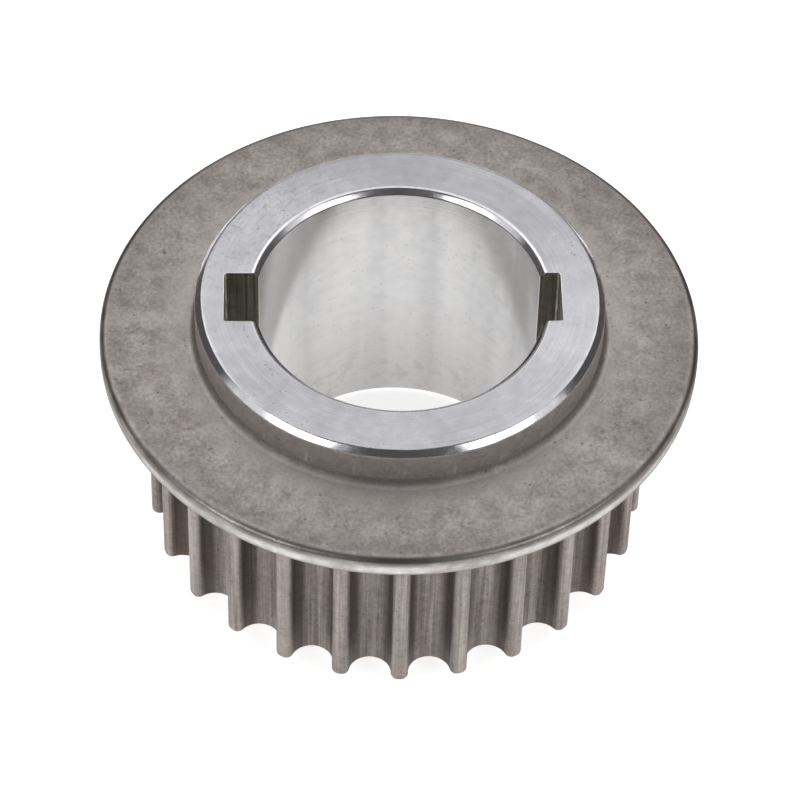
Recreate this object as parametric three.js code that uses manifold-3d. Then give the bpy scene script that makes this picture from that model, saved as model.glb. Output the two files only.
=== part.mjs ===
// Timing belt pulley: a toothed hub with a keyed bore, and a guide flange pressed over its boss.
// Millimetres, +Z up along the bore. The origin is the centre of the hub's lower face, so the
// pulley stands on z = 0. The deep keyway is towards -X and one tooth is centred on -Y.
import * as THREE from "three";
import { mergeVertices } from "three/addons/utils/BufferGeometryUtils.js";
import Module from "manifold-3d";

// Belt teeth: curved grooves for a belt of 8 mm pitch.
const TOOTH_COUNT = 26;
const BELT_PITCH = 8;
const PITCH_LINE_HEIGHT = 0.686; // from the tooth tips out to the belt's pitch line
const GROOVE_DEPTH = 3.45;
const GROOVE_R = 2.7;
const TIP_CORNER_R = 0.95;
const TOOTH_WIDTH = 29.2;
const TOOTH_END_BEVEL = 0.6;

// The ring that the pulley stands on, a little lower than the tooth ends.
const BASE_R = 26;
const BASE_RISE = 1.6;
const BASE_CHAMFER = 0.4;

// Boss and bore.
const BOSS_R = 26;
const BOSS_RISE = 5.7; // above the flange
const BOSS_CHAMFER = 0.85;
const BORE_R = 18.3;
const BORE_UPPER_CHAMFER = 0.7;
const BORE_LOWER_CHAMFER = 0.3;

// Keyways, cut along the whole bore.
const KEYWAY_WIDTH = 8;
const DEEP_KEYWAY_FLOOR = 22.2; // distance from the axis, towards -X
const SHALLOW_KEYWAY_FLOOR = 20.4; // distance from the axis, towards +X

// Guide flange.
const FLANGE_R = 38.15;
const FLANGE_THICKNESS = 2.7;
const FLANGE_UPPER_EDGE_R = 1.05; // rounding of its outer edges
const FLANGE_LOWER_EDGE_R = 0.25;
const FLANGE_SEAT_CLEARANCE = 0.03;
const FLANGE_COVE_R = 1; // the hollow fillet where its hole turns up along the boss
const FLANGE_LIP_WIDTH = 0.1; // the flat left on top of that fillet

// Facets.
const ROUND_FACETS = 104; // a multiple of 4, so the round faces line up with X and Y
const GROOVE_FACETS = 9;
const CORNER_FACETS = 3;
const EDGE_FACETS = 3;
const OVERRUN = 1; // how far a cutting tool reaches past the face it cuts
const MERGE_DISTANCE = 1e-4;

const tipR = (TOOTH_COUNT * BELT_PITCH) / (2 * Math.PI) - PITCH_LINE_HEIGHT;
const grooveCentreR = tipR - GROOVE_DEPTH + GROOVE_R;
const shoulder = BASE_RISE + TOOTH_WIDTH;
const flangeTop = shoulder + FLANGE_THICKNESS;
const height = flangeTop + BOSS_RISE;

const wasm = await Module();
wasm.setup();

// A closed three.js geometry as a solid for joining and cutting.
function solidOf(geometry) {
  geometry.deleteAttribute("normal");
  geometry.deleteAttribute("uv");
  const merged = mergeVertices(geometry, MERGE_DISTANCE);
  return new wasm.Manifold(
    new wasm.Mesh({
      numProp: 3,
      vertProperties: merged.attributes.position.array,
      triVerts: new Uint32Array(merged.index.array),
    }),
  );
}

// A solid back as a three.js geometry.
function geometryOf(solid) {
  const mesh = solid.getMesh();
  const geometry = new THREE.BufferGeometry();
  geometry.setAttribute("position", new THREE.BufferAttribute(mesh.vertProperties, 3));
  geometry.setIndex(new THREE.BufferAttribute(mesh.triVerts, 1));
  geometry.computeVertexNormals();
  return geometry;
}

// A solid of revolution about Z. The outline is a list of [radius, z], anticlockwise, closed
// here unless it runs from the axis to the axis.
function revolve(outline) {
  const points = outline.map(([r, z]) => new THREE.Vector2(r, z));
  const first = points[0];
  const last = points[points.length - 1];
  if (first.x > 0 || last.x > 0) points.push(first.clone());
  const geometry = new THREE.LatheGeometry(points, ROUND_FACETS);
  geometry.rotateX(Math.PI / 2);
  return solidOf(geometry);
}

// Points of an arc from one angle to another.
function arcPoints(centreX, centreY, radius, fromAngle, toAngle, facets) {
  return Array.from({ length: facets + 1 }, (_, i) => {
    const angle = fromAngle + ((toAngle - fromAngle) * i) / facets;
    return new THREE.Vector2(
      centreX + radius * Math.cos(angle),
      centreY + radius * Math.sin(angle),
    );
  });
}

// One groove with the rounded tooth corner on each side of it, centred on +X.
function grooveOutline() {
  const cornerR = tipR - TIP_CORNER_R;
  const reach = GROOVE_R + TIP_CORNER_R;
  const cosine =
    (grooveCentreR ** 2 + cornerR ** 2 - reach ** 2) / (2 * grooveCentreR * cornerR);
  const cornerAngle = Math.acos(cosine);
  const cornerX = cornerR * Math.cos(cornerAngle);
  const cornerY = cornerR * Math.sin(cornerAngle);
  const turn = Math.atan2(cornerY, grooveCentreR - cornerX);
  return [
    ...arcPoints(cornerX, -cornerY, TIP_CORNER_R, -cornerAngle, turn, CORNER_FACETS),
    ...arcPoints(grooveCentreR, 0, GROOVE_R, Math.PI + turn, Math.PI - turn, GROOVE_FACETS)
      .slice(1, -1),
    ...arcPoints(cornerX, cornerY, TIP_CORNER_R, -turn, cornerAngle, CORNER_FACETS),
  ];
}

// The ring of teeth, still solid inside, with bevelled ends at the open side.
function toothedBlock() {
  const groove = grooveOutline();
  const centre = new THREE.Vector2(0, 0);
  const outline = [];
  for (let i = 0; i < TOOTH_COUNT; i += 1) {
    const angle = (2 * Math.PI * i) / TOOTH_COUNT;
    outline.push(...groove.map((point) => point.clone().rotateAround(centre, angle)));
  }
  const geometry = new THREE.ExtrudeGeometry(new THREE.Shape(outline), {
    depth: TOOTH_WIDTH,
    bevelEnabled: true,
    bevelThickness: TOOTH_END_BEVEL,
    bevelSize: TOOTH_END_BEVEL,
    bevelOffset: -TOOTH_END_BEVEL,
    bevelSegments: 1,
  });
  geometry.translate(0, 0, BASE_RISE + TOOTH_END_BEVEL);
  const aboveShoulder = new THREE.CylinderGeometry(
    tipR + OVERRUN,
    tipR + OVERRUN,
    2 * TOOTH_END_BEVEL + OVERRUN,
  );
  aboveShoulder.rotateX(Math.PI / 2);
  aboveShoulder.translate(0, 0, shoulder + TOOTH_END_BEVEL + OVERRUN / 2);
  return solidOf(geometry).subtract(solidOf(aboveShoulder));
}

// The smooth boss that the flange is pressed over.
function boss() {
  return revolve([
    [0, shoulder - OVERRUN],
    [BOSS_R, shoulder - OVERRUN],
    [BOSS_R, height - BOSS_CHAMFER],
    [BOSS_R - BOSS_CHAMFER, height],
    [0, height],
  ]);
}

// The ring round the lower end of the bore.
function base() {
  return revolve([
    [0, 0],
    [BASE_R - BASE_CHAMFER, 0],
    [BASE_R, BASE_CHAMFER],
    [BASE_R, BASE_RISE + OVERRUN],
    [0, BASE_RISE + OVERRUN],
  ]);
}

// The space of the bore, with a chamfer at each end.
function boreTool() {
  return revolve([
    [0, -OVERRUN],
    [BORE_R + BORE_LOWER_CHAMFER + OVERRUN, -OVERRUN],
    [BORE_R, BORE_LOWER_CHAMFER],
    [BORE_R, height - BORE_UPPER_CHAMFER],
    [BORE_R + BORE_UPPER_CHAMFER + OVERRUN, height + OVERRUN],
    [0, height + OVERRUN],
  ]);
}

// The space of one keyway: a bar from the bore's axis out to the keyway's floor.
function keywayTool(floorDistance, side) {
  const length = height + 2 * OVERRUN;
  const bar = new THREE.BoxGeometry(floorDistance, KEYWAY_WIDTH, length);
  bar.translate((side * floorDistance) / 2, 0, height / 2);
  return solidOf(bar);
}

function toothedHub() {
  const body = toothedBlock().add(boss()).add(base());
  return body
    .subtract(boreTool())
    .subtract(keywayTool(DEEP_KEYWAY_FLOOR, -1))
    .subtract(keywayTool(SHALLOW_KEYWAY_FLOOR, 1));
}

// The ring seated on the shoulder of the teeth, with its outer edges rounded and a filleted lip
// round its hole.
function guideFlange() {
  const seatR = BOSS_R + FLANGE_SEAT_CLEARANCE;
  const lowerEdge = arcPoints(
    FLANGE_R - FLANGE_LOWER_EDGE_R, shoulder + FLANGE_LOWER_EDGE_R,
    FLANGE_LOWER_EDGE_R, -Math.PI / 2, 0, EDGE_FACETS,
  );
  const upperEdge = arcPoints(
    FLANGE_R - FLANGE_UPPER_EDGE_R, flangeTop - FLANGE_UPPER_EDGE_R,
    FLANGE_UPPER_EDGE_R, 0, Math.PI / 2, EDGE_FACETS,
  );
  const cove = arcPoints(
    seatR + FLANGE_LIP_WIDTH + FLANGE_COVE_R, flangeTop + FLANGE_COVE_R,
    FLANGE_COVE_R, -Math.PI / 2, -Math.PI, EDGE_FACETS,
  );
  return revolve([
    [seatR, shoulder],
    ...[...lowerEdge, ...upperEdge, ...cove].map((point) => [point.x, point.y]),
    [seatR, flangeTop + FLANGE_COVE_R],
  ]);
}

function addPiece(group, name, solid, look) {
  const piece = new THREE.Mesh(geometryOf(solid), new THREE.MeshStandardMaterial(look));
  piece.name = name;
  group.add(piece);
}

const pulley = new THREE.Group();
addPiece(pulley, "toothed_hub", toothedHub(), {
  color: 0x8d8682,
  roughness: 0.55,
  metalness: 0.9,
});
addPiece(pulley, "guide_flange", guideFlange(), {
  color: 0x9a918d,
  roughness: 0.7,
  metalness: 0.9,
});

export default pulley;
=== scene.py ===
import math

import bmesh
import bpy
from mathutils import Matrix, Vector, noise


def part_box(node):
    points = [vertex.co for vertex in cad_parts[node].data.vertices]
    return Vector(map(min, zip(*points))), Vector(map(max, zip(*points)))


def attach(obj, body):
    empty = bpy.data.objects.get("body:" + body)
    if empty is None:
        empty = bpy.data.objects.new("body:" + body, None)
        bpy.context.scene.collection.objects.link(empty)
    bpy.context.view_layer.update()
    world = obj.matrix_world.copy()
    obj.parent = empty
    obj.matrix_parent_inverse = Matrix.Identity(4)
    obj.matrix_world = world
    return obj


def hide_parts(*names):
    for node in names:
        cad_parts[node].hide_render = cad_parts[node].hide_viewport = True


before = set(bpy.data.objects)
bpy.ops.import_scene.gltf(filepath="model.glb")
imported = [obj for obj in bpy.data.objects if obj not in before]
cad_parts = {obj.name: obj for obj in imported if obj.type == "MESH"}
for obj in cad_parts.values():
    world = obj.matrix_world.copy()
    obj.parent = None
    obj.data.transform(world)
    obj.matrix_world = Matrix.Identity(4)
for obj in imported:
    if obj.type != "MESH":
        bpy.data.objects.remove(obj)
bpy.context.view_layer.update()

MM = 0.001

# Sizes the frame gives, in millimetres.
hub_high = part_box("toothed_hub")[1] / MM
flange_low, flange_high = (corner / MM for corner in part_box("guide_flange"))
HEIGHT = hub_high.z
SHOULDER = flange_low.z
COVE_R = 1.0
FLANGE_TOP = flange_high.z - COVE_R
FLANGE_R = flange_high.x

# Sizes that a box doesn't give, in millimetres.
TEETH = 26
PITCH = 8.0
PITCH_LINE = 0.686
GROOVE_DEPTH = 3.45
GROOVE_R = 2.7
TIP_CORNER_R = 0.95
TOOTH_END_R = 0.6
BASE_R = 26.0
BASE_RISE = 1.6
BASE_CHAMFER = 0.4
BASE_FACE_WIDTH = 1.2
BOSS_R = 26.0
BOSS_CHAMFER = 0.85
BOSS_EDGE_R = 0.5
BOSS_FACE_RIM = 0.5
BORE_R = 18.3
MOUTH_CHAMFER = 0.7
MOUTH_RIM = 0.5
MOUTH_RADII = (0.6, 0.4)
OUTLET_CHAMFER = 0.3
OUTLET_RIM = 0.3
BORE_END_DEPTH = 3.0
KEYWAY_HALF = 4.0
KEYWAY_CORNER_R = 0.35
DEEP_FLOOR = 22.2
SHALLOW_FLOOR = 20.4
SEAT_R = 26.03
LIP_R = 26.05
FLANGE_UPPER_R = 1.05
FLANGE_LOWER_R = 0.25
EDGE_R = 0.12

TIP_R = TEETH * PITCH / (2 * math.pi) - PITCH_LINE
GROOVE_CENTRE = TIP_R - GROOVE_DEPTH + GROOVE_R
CORNER_CENTRE = TIP_R - TIP_CORNER_R
CORNER_ANGLE = math.acos(
    (GROOVE_CENTRE**2 + CORNER_CENTRE**2 - (GROOVE_R + TIP_CORNER_R) ** 2)
    / (2 * GROOVE_CENTRE * CORNER_CENTRE)
)
HALF_PITCH = math.pi / TEETH

# How finely curves are divided.
SIDES = 416
BORE_STEPS = 128
TIP_STEPS = 4
CORNER_STEPS = 10
GROOVE_STEPS = 36
END_STEPS = 6
BASE_STEPS = 6
BOSS_STEPS = 6
MOUTH_STEPS = 6
EDGE_STEPS = 3
KEYWAY_CORNER_STEPS = 4
FLANGE_STEPS = 8

AROUND = [2 * math.pi * i / SIDES for i in range(SIDES)]


# ---------------------------------------------------------------- outlines

def arc(cx, cy, radius, start, end, steps):
    """steps + 1 points of an arc."""
    angles = [start + (end - start) * i / steps for i in range(steps + 1)]
    return [(cx + radius * math.cos(a), cy + radius * math.sin(a)) for a in angles]


def circle(radius):
    """The points of a full turned circle."""
    return [(radius * math.cos(a), radius * math.sin(a)) for a in AROUND]


def rounded(before, point, after, radius, steps):
    """The points that round a corner between two straight edges."""
    p = Vector(point)
    u = (Vector(before) - p).normalized()
    v = (Vector(after) - p).normalized()
    half = math.acos(max(-1.0, min(1.0, u.dot(v)))) / 2
    reach = radius / math.tan(half)
    centre = p + (u + v).normalized() * radius / math.sin(half)
    first, last = p + u * reach - centre, p + v * reach - centre
    start = math.atan2(first.y, first.x)
    turn = (math.atan2(last.y, last.x) - start + math.pi) % (2 * math.pi) - math.pi
    return arc(centre.x, centre.y, radius, start, start + turn, steps)


def profile(points, radii, steps):
    """An open outline through points, with each inner corner rounded by its radius."""
    out = [points[0]]
    for i, radius in enumerate(radii, 1):
        out += rounded(points[i - 1], points[i], points[i + 1], radius, steps)
    return out + [points[-1]]


def tooth_ring(inset):
    """The toothed outline moved inwards by inset."""
    corner_r, groove_r = TIP_CORNER_R - inset, GROOVE_R + inset
    cx = CORNER_CENTRE * math.cos(CORNER_ANGLE)
    cy = CORNER_CENTRE * math.sin(CORNER_ANGLE)
    turn = math.atan2(cy, GROOVE_CENTRE - cx)
    tip = TIP_R - inset
    one = (
        arc(0, 0, tip, -HALF_PITCH, -CORNER_ANGLE, TIP_STEPS)[:-1]
        + arc(cx, -cy, corner_r, -CORNER_ANGLE, turn, CORNER_STEPS)[:-1]
        + arc(GROOVE_CENTRE, 0, groove_r, math.pi + turn, math.pi - turn, GROOVE_STEPS)[:-1]
        + arc(cx, cy, corner_r, -turn, CORNER_ANGLE, CORNER_STEPS)[:-1]
        + arc(0, 0, tip, CORNER_ANGLE, HALF_PITCH, TIP_STEPS)[:-1]
    )
    ring = []
    for k in range(TEETH):
        c, s = math.cos(2 * k * HALF_PITCH), math.sin(2 * k * HALF_PITCH)
        ring += [(x * c - y * s, x * s + y * c) for x, y in one]
    return ring


def bore_ring(radius, spread):
    """The bore's outline at one height: a circle of that radius, broken by the two keyways,
    which are wider by spread all round."""
    y = KEYWAY_HALF + spread
    ring = []
    for side, floor in ((1, SHALLOW_FLOOR), (-1, DEEP_FLOOR)):
        floor += spread
        mouth = math.asin(y / radius)
        x = radius * math.cos(mouth)
        before = (x - math.sin(mouth), -y - math.cos(mouth))
        after = (x - math.sin(mouth), y + math.cos(mouth))
        out = rounded(before, (x, -y), (floor, -y), EDGE_R, EDGE_STEPS)
        out += rounded((x, -y), (floor, -y), (floor, y), KEYWAY_CORNER_R, KEYWAY_CORNER_STEPS)
        out += rounded((floor, -y), (floor, y), (x, y), KEYWAY_CORNER_R, KEYWAY_CORNER_STEPS)
        out += rounded((floor, y), (x, y), after, EDGE_R, EDGE_STEPS)
        start = math.atan2(out[-1][1], out[-1][0])
        out += arc(0, 0, radius, start, math.pi - start, BORE_STEPS)[1:-1]
        ring += [(side * px, side * py) for px, py in out]
    return ring


# ---------------------------------------------------------------- meshes

class Shell:
    """A closed mesh made of rings of points joined by strips and flat fills."""

    def __init__(self, name):
        self.name = name
        self.bm = bmesh.new()

    def ring(self, points, z):
        """A ring of vertices. z is one height, or a list of one per point."""
        heights = z if isinstance(z, list) else [z] * len(points)
        return [
            self.bm.verts.new((x * MM, y * MM, height * MM))
            for (x, y), height in zip(points, heights)
        ]

    def turned(self, outline):
        """The rings of a turned surface, one for each (radius, height) of its outline."""
        return [self.ring(circle(radius), z) for radius, z in outline]

    def strip(self, lower, upper, slot):
        n = len(lower)
        for i in range(n):
            j = (i + 1) % n
            face = self.bm.faces.new((lower[i], lower[j], upper[j], upper[i]))
            face.material_index = slot
            face.smooth = True

    def strips(self, rings, slots):
        for lower, upper, slot in zip(rings, rings[1:], slots):
            self.strip(lower, upper, slot)

    def fill(self, outer, inner, slot):
        """A flat ring-shaped face between two rings of the same height."""
        edges = []
        for ring in (outer, inner):
            for i in range(len(ring)):
                ends = (ring[i - 1], ring[i])
                edges.append(self.bm.edges.get(ends) or self.bm.edges.new(ends))
        made = bmesh.ops.triangle_fill(self.bm, use_beauty=True, use_dissolve=False, edges=edges)
        for face in (g for g in made["geom"] if isinstance(g, bmesh.types.BMFace)):
            face.material_index = slot
            face.smooth = True

    def finish(self, materials):
        bmesh.ops.recalc_face_normals(self.bm, faces=self.bm.faces)
        mesh = bpy.data.meshes.new(self.name)
        self.bm.to_mesh(mesh)
        self.bm.free()
        for material in materials:
            mesh.materials.append(material)
        piece = bpy.data.objects.new(self.name, mesh)
        bpy.context.scene.collection.objects.link(piece)
        weighted = piece.modifiers.new("weighted_normals", "WEIGHTED_NORMAL")
        weighted.weight = 100
        weighted.keep_sharp = True
        return piece


def wobble(angle, size, cycles, seed):
    """A slow, repeatable unevenness along a turned edge."""
    p = Vector((math.cos(angle) * cycles, math.sin(angle) * cycles, seed))
    return size * noise.noise(p)


# ---------------------------------------------------------------- materials

# Pressed and sintered steel.
LIGHT_SKIN = (0.54, 0.50, 0.48)
MIDDLE_SKIN = (0.44, 0.404, 0.386)
DARK_SKIN = (0.34, 0.307, 0.292)
WARM_FLANGE = (0.44, 0.41, 0.385)
WARM_WALL = (0.5, 0.44, 0.40)
# The teeth's colours are darker than the flange's: painted shade, for the dim light that the
# floor gives them.
LIGHT_TEETH = (0.43, 0.387, 0.368)
DARK_TEETH = (0.165, 0.143, 0.134)
WARM_TEETH = (0.5, 0.42, 0.38)
# Painted shade for the groove flanks.
FLANK_SHADE = (0.075, 0.053, 0.046)
FLANGE_TINT = (0.35, 0.33, 0.32)

# Cut and polished steel.
LIGHT_FACE = (0.595, 0.59, 0.615)
MIDDLE_FACE = (0.525, 0.52, 0.55)
DARK_FACE = (0.455, 0.45, 0.48)
FACE_DENT = (0.26, 0.24, 0.25)
FACE_SCUFF = (0.33, 0.315, 0.32)
LIGHT_CHAMFER = (0.80, 0.79, 0.81)
DARK_CHAMFER = (0.68, 0.67, 0.70)
LIGHT_BORE = (0.71, 0.705, 0.70)
MIDDLE_BORE = (0.64, 0.635, 0.635)
DARK_BORE = (0.54, 0.535, 0.535)
LOWER_BORE = (0.36, 0.34, 0.32)
BORE_STAIN = (0.34, 0.30, 0.26)
BORE_PIT = (0.25, 0.23, 0.22)
LIGHT_KEYWAY = (0.40, 0.37, 0.32)
DARK_KEYWAY = (0.17, 0.155, 0.13)
OLD_OIL = (0.15, 0.125, 0.095)
LIGHT_RIM = (0.66, 0.64, 0.62)
DARK_RIM = (0.34, 0.32, 0.305)


def shade(colour, factor):
    return tuple(channel * factor for channel in colour)


class Look:
    """A node material under construction. Its coordinates are the object's, in millimetres."""

    def __init__(self, name):
        self.material = bpy.data.materials.new(name)
        self.material.use_nodes = True
        self.tree = self.material.node_tree
        self.tree.nodes.clear()
        output = self.add("OutputMaterial")
        self.shader = self.add("BsdfPrincipled")
        self.put(self.shader.outputs[0], output.inputs[0])
        scaled = self.add("VectorMath", operation="SCALE")
        self.put(self.add("TexCoord").outputs["Object"], scaled.inputs[0])
        self.put(1 / MM, scaled.inputs["Scale"])
        self.mm = scaled.outputs[0]
        parts = self.add("SeparateXYZ")
        self.put(self.mm, parts.inputs[0])
        x, y, self.z = parts.outputs
        # The distance from the bore's axis, and the direction from it.
        flat = self.vector(x, y, 0.0)
        length = self.add("VectorMath", operation="LENGTH")
        self.put(flat, length.inputs[0])
        self.r = length.outputs["Value"]
        unit = self.add("VectorMath", operation="NORMALIZE")
        self.put(flat, unit.inputs[0])
        around = self.add("SeparateXYZ")
        self.put(unit.outputs[0], around.inputs[0])
        self.cos, self.sin = around.outputs[0], around.outputs[1]

    def add(self, kind, **settings):
        node = self.tree.nodes.new("ShaderNode" + kind)
        for key, value in settings.items():
            setattr(node, key, value)
        return node

    def put(self, value, socket):
        """A link where value is another node's output, and a fixed value where it isn't."""
        if isinstance(value, bpy.types.NodeSocket):
            self.tree.links.new(value, socket)
        elif socket.type == "RGBA":
            socket.default_value = (*value, 1.0)
        else:
            socket.default_value = value

    def math(self, operation, a, b):
        node = self.add("Math", operation=operation)
        self.put(a, node.inputs[0])
        self.put(b, node.inputs[1])
        return node.outputs[0]

    def times(self, first, *others):
        """The product of all values."""
        for other in others:
            first = self.math("MULTIPLY", first, other)
        return first

    def total(self, *terms):
        """The sum of (value, weight) terms."""
        first, *others = (self.times(value, weight) for value, weight in terms)
        for other in others:
            first = self.math("ADD", first, other)
        return first

    def vector(self, x, y, z):
        node = self.add("CombineXYZ")
        for value, socket in zip((x, y, z), node.inputs):
            self.put(value, socket)
        return node.outputs[0]

    def stretched(self, sx, sy, sz):
        """The millimetre coordinates, each times its own factor."""
        node = self.add("VectorMath", operation="MULTIPLY")
        self.put(self.mm, node.inputs[0])
        self.put((sx, sy, sz), node.inputs[1])
        return node.outputs[0]

    def noise(self, place, scale, detail=3.0, roughness=0.55, distortion=0.0):
        node = self.add("TexNoise")
        self.put(place, node.inputs["Vector"])
        self.put(scale, node.inputs["Scale"])
        self.put(detail, node.inputs["Detail"])
        self.put(roughness, node.inputs["Roughness"])
        self.put(distortion, node.inputs["Distortion"])
        return node.outputs[0]

    def tool_rings(self, along, per_mm, detail=2.0):
        """The fine rings that a lathe tool leaves one after another along r or z."""
        place = self.vector(self.times(along, per_mm), self.cos, self.sin)
        return self.noise(place, 1.0, detail, 0.6)

    def pits(self, scale, size, soft, cluster_scale, cluster_detail, low, high):
        """1 in the middle of small round pits and 0 between them. The pits gather where a
        broad noise is above low."""
        cells = self.add("TexVoronoi", feature="F1")
        self.put(self.mm, cells.inputs["Vector"])
        self.put(scale, cells.inputs["Scale"])
        spots = self.fit(cells.outputs["Distance"], size + soft, size)
        clusters = self.noise(self.mm, cluster_scale, cluster_detail)
        return self.times(spots, self.fit(clusters, low, high))

    def fit(self, value, low, high, to_low=0.0, to_high=1.0):
        """value mapped from low..high to to_low..to_high and held there."""
        node = self.add("MapRange", clamp=True)
        self.put(value, node.inputs["Value"])
        self.put(low, node.inputs["From Min"])
        self.put(high, node.inputs["From Max"])
        self.put(to_low, node.inputs["To Min"])
        self.put(to_high, node.inputs["To Max"])
        return node.outputs[0]

    def ramp(self, value, *stops):
        node = self.add("ValToRGB")
        self.put(value, node.inputs[0])
        elements = node.color_ramp.elements
        while len(elements) < len(stops):
            elements.new(0.5)
        for element, (position, colour) in zip(elements, stops):
            element.position = position
            element.color = (*colour, 1.0)
        return node.outputs[0]

    def mix(self, factor, a, b, blend="MIX"):
        node = self.add("Mix", data_type="RGBA", blend_type=blend)
        self.put(factor, node.inputs[0])
        self.put(a, node.inputs[6])
        self.put(b, node.inputs[7])
        return node.outputs[2]

    def cover(self, colour, over, mask, strength):
        """colour with another one laid over it at that strength where mask is 1."""
        return self.mix(self.times(mask, strength), colour, over)

    def attribute(self, name):
        return self.add("Attribute", attribute_name=name).outputs["Fac"]

    def bump(self, height, depth, before=None):
        """A bump of that depth in millimetres for a height that runs from 0 to 1."""
        node = self.add("Bump")
        self.put(1.0, node.inputs["Strength"])
        self.put(depth * MM, node.inputs["Distance"])
        self.put(height, node.inputs["Height"])
        if before is not None:
            self.put(before, node.inputs["Normal"])
        return node.outputs[0]

    def finish(self, colour, roughness, normal=None, metallic=1.0, anisotropic=0.0):
        """The material. anisotropic stretches the gloss across the lathe's rings."""
        inputs = self.shader.inputs
        self.put(colour, inputs["Base Color"])
        self.put(roughness, inputs["Roughness"])
        self.put(metallic, inputs["Metallic"])
        if normal is not None:
            self.put(normal, inputs["Normal"])
        if anisotropic:
            quarter_turn = 0.25
            self.put(anisotropic, inputs["Anisotropic"])
            self.put(quarter_turn, inputs["Anisotropic Rotation"])
            tangent = self.add("Tangent", direction_type="RADIAL", axis="Z")
            self.put(tangent.outputs[0], inputs["Tangent"])
        return self.material


def press_streaks(look):
    """The marks that the press tool leaves along the bore's direction."""
    lines = look.noise(look.stretched(1.9, 1.9, 0.035), 1.0, 3.0, 0.6)
    fine = look.noise(look.stretched(5.0, 5.0, 0.09), 1.0, 2.0, 0.6)
    broad = look.noise(look.stretched(0.75, 0.75, 0.02), 1.0, 2.0, 0.5)
    lines = look.total((lines, 0.6), (fine, 0.4))
    return look.total((lines, 0.65), (broad, 0.35))


def tooth_painted_light(look, colour):
    """Painted shade on the groove flanks, a painted shadow under the flange, and lighter tooth
    corners, partly wear and partly painted highlight.
    """
    deep = look.attribute("groove")
    edge = look.attribute("edge")
    # Painted shade on the groove flanks.
    flank = look.times(look.fit(deep, 0.08, 0.36), look.fit(deep, 0.97, 0.66, 0.15, 1.0))
    colour = look.cover(colour, FLANK_SHADE, flank, 0.82)
    # Lighter tooth corners: partly wear, partly painted highlight.
    colour = look.cover(colour, shade(LIGHT_TEETH, 1.4), edge, 0.15)
    # A painted shadow on the teeth under the flange.
    under_flange_shadow = look.math("POWER", look.fit(look.z, SHOULDER - 6.0, SHOULDER), 2.0)
    return look.cover(colour, shade(DARK_TEETH, 0.4), under_flange_shadow, 0.6)


def sintered(name, light, dark, warm, teeth=False):
    """Pressed and sintered steel: matte, mottled, finely pitted."""
    look = Look(name)
    patches = look.noise(look.mm, 0.16, 3.0, 0.6, 0.3)
    blotches = look.noise(look.mm, 0.85, 4.0, 0.65, 0.2)
    grain = look.noise(look.mm, 3.2, 3.0, 0.6)
    tone = look.total((blotches, 0.55), (grain, 0.45))
    low, high = 0.32, 0.70
    if teeth:
        streaks = press_streaks(look)
        tone = look.total((tone, 0.3), (streaks, 0.7))
        low, high = 0.41, 0.60
    middle = [(a + b) / 2 for a, b in zip(dark, light)]
    colour = look.ramp(tone, (low, dark), ((low + high) / 2, middle), (high, light))
    colour = look.mix(look.fit(patches, 0.40, 0.66, 0.0, 0.5), colour, warm, "SOFT_LIGHT")
    pits = look.pits(1.4, 0.10, 0.16, 0.7, 1.0, 0.5, 0.62)
    colour = look.cover(colour, shade(dark, 0.45), pits, 0.6)
    roughness = look.fit(tone, 0.35, 0.7, 0.66, 0.5)
    height = look.total((grain, 0.5), (blotches, 0.5))
    height = look.math("SUBTRACT", height, look.times(pits, 0.6))
    normal = look.bump(height, 0.09)
    if teeth:
        normal = look.bump(streaks, 0.05, normal)
        # Painted shade, a painted shadow and painted highlights on the teeth.
        colour = tooth_painted_light(look, colour)
    return look.finish(colour, roughness, normal, metallic=0.8)


def turned_face():
    """The boss face: faced on a lathe, with a few dents, and scuffed towards -X and +Y."""
    look = Look("turned_face")
    rings = look.tool_rings(look.r, 9.0)
    clouds = look.noise(look.mm, 0.11, 3.0, 0.55)
    smears = look.noise(look.mm, 0.5, 3.0, 0.6, 0.6)
    tone = look.total((rings, 0.35), (clouds, 0.35), (smears, 0.30))
    colour = look.ramp(tone, (0.40, DARK_FACE), (0.5, MIDDLE_FACE), (0.61, LIGHT_FACE))
    dents = look.pits(1.1, 0.05, 0.16, 0.09, 2.0, 0.46, 0.60)
    colour = look.cover(colour, FACE_DENT, dents, 0.4)
    scuffed_side = look.fit(look.total((look.cos, -0.78), (look.sin, 0.62)), 0.70, 0.95)
    scuffs = look.fit(look.noise(look.mm, 1.3, 3.0, 0.6, 0.8), 0.52, 0.66)
    colour = look.cover(colour, FACE_SCUFF, look.times(scuffs, scuffed_side), 0.55)
    roughness = look.fit(tone, 0.35, 0.65, 0.34, 0.24)
    normal = look.bump(rings, 0.006)
    normal = look.bump(dents, -0.025, normal)
    return look.finish(colour, roughness, normal, anisotropic=0.55)


def turned_chamfer(name, roughest, smoothest):
    """A bright chamfer, cut with a fresh tool and almost a mirror."""
    look = Look(name)
    rings = look.tool_rings(look.z, 7.0)
    smears = look.noise(look.mm, 0.6, 3.0, 0.6)
    colour = look.ramp(smears, (0.35, DARK_CHAMFER), (0.65, LIGHT_CHAMFER))
    roughness = look.fit(smears, 0.35, 0.65, roughest, smoothest)
    return look.finish(colour, roughness, look.bump(rings, 0.004))


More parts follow.
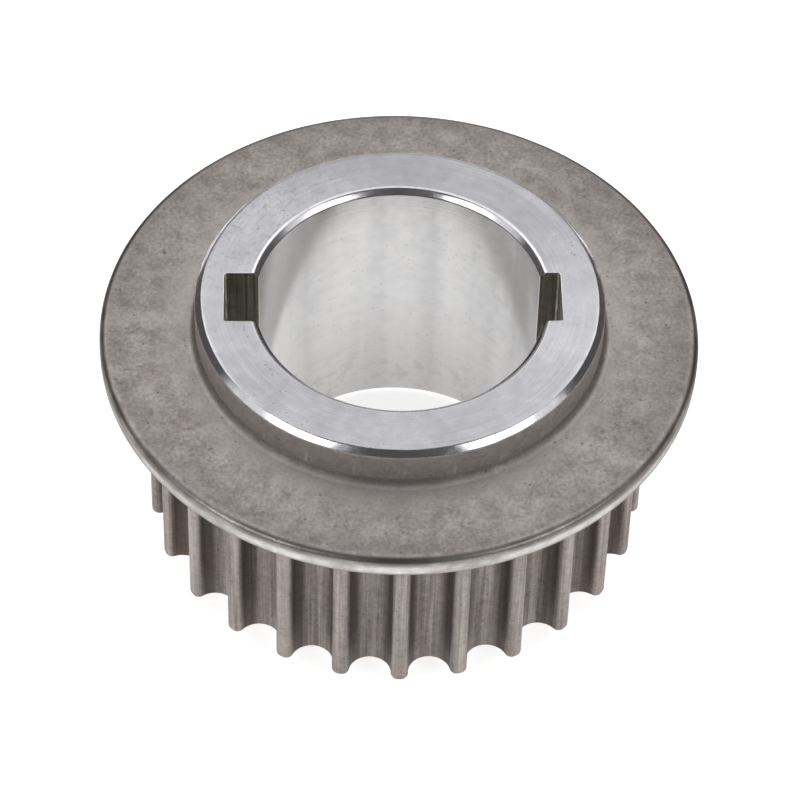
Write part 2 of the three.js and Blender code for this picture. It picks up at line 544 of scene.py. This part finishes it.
def bored():
    """The bore: a fine cut with faint rings round it, darker towards the lower end, with dry
    stains there.
    """
    look = Look("bored_steel")
    rings = look.tool_rings(look.z, 6.0, 3.0)
    clouds = look.noise(look.stretched(0.17, 0.17, 0.008), 1.0, 3.0, 0.5)
    stains = look.noise(look.mm, 0.5, 4.0, 0.6)
    tone = look.total((rings, 0.12), (clouds, 0.66), (stains, 0.22))
    colour = look.ramp(tone, (0.38, DARK_BORE), (0.5, MIDDLE_BORE), (0.62, LIGHT_BORE))
    # Darker towards the lower end.
    colour = look.mix(look.fit(look.z, 20.0, 1.0, 0.0, 0.34), colour, LOWER_BORE)
    tide = look.times(look.fit(stains, 0.50, 0.62), look.fit(look.z, 12.0, 5.0))
    colour = look.cover(colour, BORE_STAIN, tide, 0.35)
    pits = look.pits(1.2, 0.05, 0.15, 0.3, 2.0, 0.44, 0.56)
    colour = look.cover(colour, BORE_PIT, pits, 0.5)
    roughness = look.fit(tone, 0.35, 0.65, 0.24, 0.15)
    return look.finish(colour, roughness, look.bump(rings, 0.006))


def broached():
    """The keyways: cut lengthwise, dull with old oil, and dark, partly from the oil and partly
    from painted shade.
    """
    look = Look("broached_steel")
    lines = look.noise(look.stretched(3.0, 3.0, 0.05), 1.0, 3.0, 0.6)
    film = look.noise(look.mm, 0.5, 3.0, 0.6)
    # Dark colours: partly old oil, partly painted shade inside the keyways.
    colour = look.ramp(lines, (0.35, DARK_KEYWAY), (0.65, LIGHT_KEYWAY))
    colour = look.mix(look.fit(film, 0.4, 0.7, 0.0, 0.5), colour, OLD_OIL)
    return look.finish(colour, look.fit(film, 0.35, 0.65, 0.38, 0.55), look.bump(lines, 0.03))


def flange_skin():
    """The flange: mottled sintered steel, polished round its outer edge by handling and by the
    belt, with a painted highlight along that edge and painted shade and light near the rim and
    the boss."""
    look = Look("flange_skin")
    patches = look.noise(look.mm, 0.07, 3.0, 0.55, 0.3)
    blotches = look.noise(look.mm, 0.38, 4.0, 0.62, 0.3)
    grain = look.noise(look.mm, 2.2, 3.0, 0.62)
    tone = look.total((blotches, 0.5), (grain, 0.5))
    dull = look.ramp(tone, (0.37, DARK_SKIN), (0.50, MIDDLE_SKIN), (0.63, LIGHT_SKIN))
    dull = look.mix(look.fit(patches, 0.56, 0.36, 0.0, 0.28), dull, shade(DARK_SKIN, 0.7))
    dull = look.mix(look.fit(patches, 0.38, 0.64, 0.0, 0.7), dull, WARM_FLANGE, "SOFT_LIGHT")
    pits = look.pits(1.3, 0.10, 0.16, 0.6, 1.0, 0.5, 0.62)
    dull = look.cover(dull, shade(DARK_SKIN, 0.5), pits, 0.5)

    # The polished rim, unevenly worn, in a bright band of colour: part polish, part painted
    # highlight.
    smears = look.noise(look.mm, 0.5, 3.0, 0.6)
    scuffs = look.noise(look.stretched(0.8, 0.8, 4.0), 1.0, 3.0, 0.6)
    around = look.noise(look.vector(look.cos, look.sin, 0.0), 3.2, 3.0, 0.6)
    wear_and_sheen = look.total((smears, 0.5), (scuffs, 0.5))
    wear_and_sheen = look.total((wear_and_sheen, 0.5), (around, 0.5))
    bright = look.ramp(wear_and_sheen, (0.40, DARK_RIM), (0.58, LIGHT_RIM))
    above = look.fit(look.z, SHOULDER + 1.9, SHOULDER + 1.25)
    below = look.fit(look.z, SHOULDER + 0.1, SHOULDER + 0.6)
    beyond = look.fit(look.r, FLANGE_R - 0.25, FLANGE_R - 0.05)
    polish_and_highlight = look.times(above, below, beyond)
    smooth = look.fit(look.r, FLANGE_R - 1.4, FLANGE_R - 0.5)

    # Darker towards the rim. Darker on its upper rounding: painted shade. Lighter round the foot
    # of the
    # boss: painted light. Dark again in the cove: painted shade.
    outer = look.fit(look.r, FLANGE_R - 5.0, FLANGE_R - 0.9)
    dull = look.cover(dull, shade(DARK_SKIN, 0.4), outer, 0.26)
    # Painted shade on the rim's upper rounding.
    brink_shade = look.fit(look.r, FLANGE_R - 0.95, FLANGE_R - 0.55)
    brink_shade = look.times(brink_shade, look.fit(around, 0.44, 0.56, 0.25, 0.72))
    dull = look.mix(brink_shade, dull, shade(DARK_SKIN, 0.35))
    # Painted light round the foot of the boss.
    foot = look.fit(look.r, LIP_R + 5.0, LIP_R + 1.5)
    # Painted shade in the cove.
    cove = look.fit(look.z, FLANGE_TOP + 0.01, FLANGE_TOP + 0.30)
    foot = look.times(foot, look.math("SUBTRACT", 1.0, cove))
    dull = look.cover(dull, shade(LIGHT_SKIN, 1.2), foot, 0.6)
    dull = look.cover(dull, shade(DARK_SKIN, 0.5), cove, 0.55)

    colour = look.mix(polish_and_highlight, dull, bright)
    rough = look.fit(tone, 0.35, 0.7, 0.68, 0.52)
    rough = look.math("ADD", rough, look.times(smooth, -0.28))
    height = look.total((grain, 0.5), (blotches, 0.5))
    height = look.math("SUBTRACT", height, look.times(pits, 0.6))
    height = look.times(height, look.math("SUBTRACT", 1.0, look.times(smooth, 0.8)))
    look.put(FLANGE_TINT, look.shader.inputs["Specular Tint"])
    return look.finish(colour, rough, look.bump(height, 0.10), metallic=0.85)


# The hub's material slots, in the order of hub_looks.
SINTERED, FACE, CHAMFER, BORE, KEYWAY, END, WALL, MOUTH = range(8)
# How much darker the boss wall is painted than the flange: painted shade.
WALL_PAINTED_SHADE = 0.81
hub_looks = [
    sintered("sintered_teeth", LIGHT_TEETH, DARK_TEETH, WARM_TEETH, teeth=True),
    turned_face(),
    turned_chamfer("turned_chamfer", 0.22, 0.13),
    bored(),
    broached(),
    sintered("sintered_end", LIGHT_TEETH, DARK_TEETH, WARM_TEETH),
    # The boss wall: the flange's colours darkened, painted shade.
    sintered(
        "sintered_wall", shade(LIGHT_SKIN, WALL_PAINTED_SHADE), shade(DARK_SKIN, WALL_PAINTED_SHADE), WARM_WALL
    ),
    turned_chamfer("worn_mouth", 0.26, 0.16),
]


# ---------------------------------------------------------------- the hub

def make_teeth(shell):
    """The teeth, from their rounded lower ends up to the shoulder. Two attributes say how far
    into a groove a point is and how near a tooth corner."""
    groove = shell.bm.verts.layers.float.new("groove")
    edge = shell.bm.verts.layers.float.new("edge")
    levels = []
    for i in range(END_STEPS + 1):
        turn = math.pi / 2 * i / END_STEPS
        inset = TOOTH_END_R * (1 - math.sin(turn))
        levels.append((inset, BASE_RISE + TOOTH_END_R * (1 - math.cos(turn))))
    levels.append((0.0, SHOULDER))
    teeth = [shell.ring(tooth_ring(inset), z) for inset, z in levels]
    shell.strips(teeth, [SINTERED] * (len(teeth) - 1))
    edge_depth, edge_width = 0.15, 0.25
    for vertex in (v for ring in teeth for v in ring):
        depth = TIP_R - math.hypot(vertex.co.x, vertex.co.y) / MM
        vertex[groove] = min(1.0, max(0.0, depth / GROOVE_DEPTH))
        vertex[edge] = math.exp(-(((depth - edge_depth) / edge_width) ** 2))
    return teeth


def make_boss(shell):
    """The boss wall and its chamfer, a little uneven where the tool ran out."""
    outlines = []
    for a in AROUND:
        face_edge = BOSS_R - BOSS_CHAMFER + wobble(a, 0.10, 2.2, 1.0) + wobble(a, 0.05, 9.0, 2.0)
        wall_edge = HEIGHT - BOSS_CHAMFER + wobble(a, 0.10, 2.6, 3.0) + wobble(a, 0.05, 11.0, 4.0)
        points = [
            (BOSS_R, SHOULDER),
            (BOSS_R, wall_edge),
            (face_edge, HEIGHT),
            (face_edge - BOSS_FACE_RIM, HEIGHT),
        ]
        outlines.append(profile(points, [BOSS_EDGE_R, BOSS_EDGE_R], BOSS_STEPS))
    boss = []
    for level in zip(*outlines):
        ring = [(r * math.cos(a), r * math.sin(a)) for a, (r, z) in zip(AROUND, level)]
        boss.append(shell.ring(ring, [z for r, z in level]))
    wall_strips, chamfer_strips = 6, 4
    face_strips = len(boss) - 1 - wall_strips - chamfer_strips
    slots = [WALL] * wall_strips + [CHAMFER] * chamfer_strips + [FACE] * face_strips
    shell.strips(boss, slots)
    return boss


def make_base(shell):
    """The ring that the pulley stands on."""
    points = [(BASE_R - BASE_FACE_WIDTH, 0.0), (BASE_R, 0.0), (BASE_R, BASE_RISE)]
    base = shell.turned(profile(points, [BASE_CHAMFER], BASE_STEPS))
    shell.strips(base, [END] * (len(base) - 1))
    return base


def bore_end(chamfer, rim, radii, steps):
    """The bore's outline at one end as (radius, depth, spread), from the end face inwards.
    spread is how much wider the keyways are there, which rounds their edges."""
    points = [
        (BORE_R + chamfer + rim, 0.0),
        (BORE_R + chamfer, 0.0),
        (BORE_R, chamfer),
        (BORE_R, BORE_END_DEPTH),
    ]
    out = []
    for radius, depth in profile(points, radii, steps)[1:]:
        near = max(0.0, 1 - depth / EDGE_R)
        out.append((radius, depth, EDGE_R * (1 - math.sqrt(max(0.0, 1 - near * near)))))
    return out


def make_bore(shell):
    """The bore from the boss face down, with a softened mouth and a small chamfer at the lower
    end."""
    mouth = bore_end(MOUTH_CHAMFER, MOUTH_RIM, MOUTH_RADII, MOUTH_STEPS)
    outlet = bore_end(OUTLET_CHAMFER, OUTLET_RIM, (EDGE_R, EDGE_R), EDGE_STEPS)
    upper = [(r, HEIGHT - depth, spread) for r, depth, spread in mouth]
    lower = [(r, depth, spread) for r, depth, spread in reversed(outlet)]
    bore = [shell.ring(bore_ring(r, spread), z) for r, z, spread in upper + lower]
    shell.strips(bore, [MOUTH] * (len(upper) - 2) + [BORE] * 3 + [CHAMFER] * (len(lower) - 2))
    return bore


def in_keyway(centre):
    """Whether a face of the bore's strips belongs to a keyway's walls or floor."""
    near, beside, past = 0.02, 0.2, 0.3
    side = abs(centre.y)
    opening = math.sqrt(BORE_R**2 - KEYWAY_HALF**2)
    return (
        BORE_R + near < math.hypot(centre.x, centre.y) < DEEP_FLOOR + beside
        and side < KEYWAY_HALF + beside
        and near < centre.z < HEIGHT - near
        and (abs(centre.x) > opening + past or abs(side - KEYWAY_HALF) < near)
    )


def make_hub():
    shell = Shell("pulley_hub")
    teeth = make_teeth(shell)
    boss = make_boss(shell)
    base = make_base(shell)
    bore = make_bore(shell)
    shell.fill(teeth[-1], boss[0], SINTERED)
    shell.fill(boss[-1], bore[0], FACE)
    shell.fill(teeth[0], base[-1], END)
    shell.fill(base[0], bore[-1], END)
    for face in shell.bm.faces:
        bore_face = face.material_index in (BORE, MOUTH, CHAMFER)
        if bore_face and in_keyway(face.calc_center_median() / MM):
            face.material_index = KEYWAY
    return shell.finish(hub_looks)


# ---------------------------------------------------------------- the flange

def make_flange():
    shell = Shell("belt_flange")
    underside_width = 8.0
    outline = profile(
        [
            (FLANGE_R - underside_width, SHOULDER),
            (FLANGE_R, SHOULDER),
            (FLANGE_R, FLANGE_TOP),
            (LIP_R, FLANGE_TOP),
            (LIP_R, FLANGE_TOP + COVE_R),
        ],
        [FLANGE_LOWER_R, FLANGE_UPPER_R, COVE_R],
        FLANGE_STEPS,
    )
    outline.pop()  # the cove already ends there
    outline += [(SEAT_R, FLANGE_TOP + COVE_R), (SEAT_R, SHOULDER)]
    rings = shell.turned(outline)
    rings.append(rings[0])
    shell.strips(rings, [0] * len(outline))
    return shell.finish([flange_skin()])


hub = make_hub()
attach(hub, "root")
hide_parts("toothed_hub")

flange = make_flange()
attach(flange, "root")
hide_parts("guide_flange")


# ---------------------------------------------------------------- floor, light and camera

FLOOR_HALF_SIZE = 3.0
FLOOR_DROP = 0.02 * MM
FLOOR_GLOW = 0.72
CARD_DISTANCE = 0.17
CARD_WIDTH = 0.20
CARD_HEIGHT = 0.07
SEEN_WORLD = 0.93
LIT_WORLD = 0.08


def stage_grid(name, segments, half_size, material):
    """A flat square for the stage, at the origin and facing up."""
    bm = bmesh.new()
    bmesh.ops.create_grid(bm, x_segments=segments, y_segments=segments, size=half_size)
    mesh = bpy.data.meshes.new(name)
    bm.to_mesh(mesh)
    bm.free()
    mesh.materials.append(material)
    grid = bpy.data.objects.new(name, mesh)
    bpy.context.scene.collection.objects.link(grid)
    return grid


def make_floor():
    """A white floor that glows a little, so that it stays white under the pulley."""
    look = Look("white_floor")
    tone = look.noise(look.mm, 0.004, 2.0)
    colour = look.ramp(tone, (0.4, (0.90, 0.90, 0.90)), (0.6, (0.93, 0.93, 0.93)))
    look.put((1.0, 1.0, 1.0), look.shader.inputs["Emission Color"])
    look.put(FLOOR_GLOW, look.shader.inputs["Emission Strength"])
    white = look.finish(colour, 0.9, metallic=0.0)
    floor = stage_grid("floor", 8, FLOOR_HALF_SIZE, white)
    floor.location.z = -FLOOR_DROP


def make_card(name, azimuth, material):
    """A dark card that stands on the floor beside the pulley and keeps the white floor behind it
    out of the chamfers' reflections. The camera doesn't see it."""
    a = math.radians(azimuth)
    card = stage_grid(name, 1, 0.5, material)
    card.scale = (CARD_WIDTH, CARD_HEIGHT, 1.0)
    card.location = (math.sin(a) * CARD_DISTANCE, -math.cos(a) * CARD_DISTANCE, CARD_HEIGHT / 2)
    card.rotation_euler = (math.pi / 2, 0.0, a)
    card.visible_camera = False


def softbox(name, azimuth, elevation, distance, width, height, radiance):
    """A rectangular softbox that faces the pulley. Azimuth 0 is the camera's side, -Y, and 90 is
    +X."""
    a, e = math.radians(azimuth), math.radians(elevation)
    towards = Vector((math.sin(a) * math.cos(e), -math.cos(a) * math.cos(e), math.sin(e)))
    light = bpy.data.lights.new(name, "AREA")
    light.shape = "RECTANGLE"
    light.size, light.size_y = width, height
    light.energy = radiance * math.pi * width * height
    lamp = bpy.data.objects.new(name, light)
    lamp.location = towards * distance
    lamp.rotation_mode = "QUATERNION"
    lamp.rotation_quaternion = towards.to_track_quat("Z", "Y")
    lamp.visible_camera = False
    bpy.context.scene.collection.objects.link(lamp)


def patch(name, azimuths, elevations, radiance, distance=1.6):
    """A softbox that covers a range of azimuths and elevations as the pulley sees it."""
    azimuth, elevation = sum(azimuths) / 2, sum(elevations) / 2
    half_wide = math.radians(abs(azimuths[1] - azimuths[0]) / 2)
    half_high = math.radians(abs(elevations[1] - elevations[0]) / 2)
    width = 2 * distance * math.tan(half_wide) * math.cos(math.radians(elevation))
    height = 2 * distance * math.tan(half_high)
    softbox(name, azimuth, elevation, distance, width, height, radiance)


def make_world():
    """A grey world: bright where the camera looks at it, and dim as a light."""
    world = bpy.data.worlds.new("studio")
    bpy.context.scene.world = world
    world.use_nodes = True
    tree = world.node_tree
    tree.nodes.clear()
    output = tree.nodes.new("ShaderNodeOutputWorld")
    mix = tree.nodes.new("ShaderNodeMixShader")
    path = tree.nodes.new("ShaderNodeLightPath")
    tree.links.new(path.outputs["Is Camera Ray"], mix.inputs[0])
    for grey, socket in ((LIT_WORLD, mix.inputs[1]), (SEEN_WORLD, mix.inputs[2])):
        background = tree.nodes.new("ShaderNodeBackground")
        background.inputs[0].default_value = (grey, grey, grey, 1.0)
        tree.links.new(background.outputs[0], socket)
    tree.links.new(mix.outputs[0], output.inputs[0])


make_floor()
dark_card = Look("dark_card").finish((0.09, 0.075, 0.07), 0.9, metallic=0.0)
make_card("left_flag", -132, dark_card)
make_card("right_flag", 132, dark_card)
make_world()
patch("front_left_softbox", (-68, -35), (18, 45), 3.0)
patch("front_right_softbox", (35, 68), (18, 45), 3.0)
patch("left_reflector", (-93, -69), (10, 40), 0.7)
patch("right_reflector", (69, 87), (10, 40), 0.75)
softbox("overhead_softbox", 180, 68, 1.7, 4.2, 1.9, 0.98)
patch("back_left_softbox", (-158, -125), (30, 58), 0.85, 1.5)
patch("back_right_softbox", (125, 158), (30, 58), 0.85, 1.5)
patch("back_low_softbox", (146, 214), (1, 20), 0.6)

CAMERA_AZIMUTH = -2.3
CAMERA_ELEVATION = 48.52
CAMERA_ROLL = 1.635
CAMERA_DISTANCE = 13.686 * FLANGE_R * MM
CAMERA_LENS = 184.2
CAMERA_CENTRE = Vector((0.0, 0.0, (SHOULDER + 1.35) * MM))
AIM_BELOW = 8.47 * MM
AIM_RIGHT = 0.11 * MM


def make_camera():
    """The camera looks down at 48.5 degrees from 2.3 degrees to the left of -Y, from 522 mm."""
    azimuth, elevation, roll = map(math.radians, (CAMERA_AZIMUTH, CAMERA_ELEVATION, CAMERA_ROLL))
    back = Vector((
        math.sin(azimuth) * math.cos(elevation),
        -math.cos(azimuth) * math.cos(elevation),
        math.sin(elevation),
    ))
    right = Vector((math.cos(azimuth), math.sin(azimuth), 0.0))
    up = back.cross(right)
    rolled_right = right * math.cos(roll) + up * math.sin(roll)
    rolled_up = up * math.cos(roll) - right * math.sin(roll)
    place = CAMERA_CENTRE + back * CAMERA_DISTANCE
    aim = CAMERA_CENTRE - rolled_up * AIM_BELOW + rolled_right * AIM_RIGHT
    behind = (place - aim).normalized()
    across = (rolled_right - behind * rolled_right.dot(behind)).normalized()
    upward = behind.cross(across)
    data = bpy.data.cameras.new("camera")
    data.sensor_width = 36.0
    data.lens = CAMERA_LENS
    data.clip_start, data.clip_end = 0.05, 20.0
    camera = bpy.data.objects.new("camera", data)
    camera.location = place
    camera.rotation_mode = "QUATERNION"
    camera.rotation_quaternion = Matrix((across, upward, behind)).transposed().to_quaternion()
    bpy.context.scene.collection.objects.link(camera)
    bpy.context.scene.camera = camera


make_camera()
bpy.context.scene.view_settings.view_transform = "Standard"
bpy.context.view_layer.update()
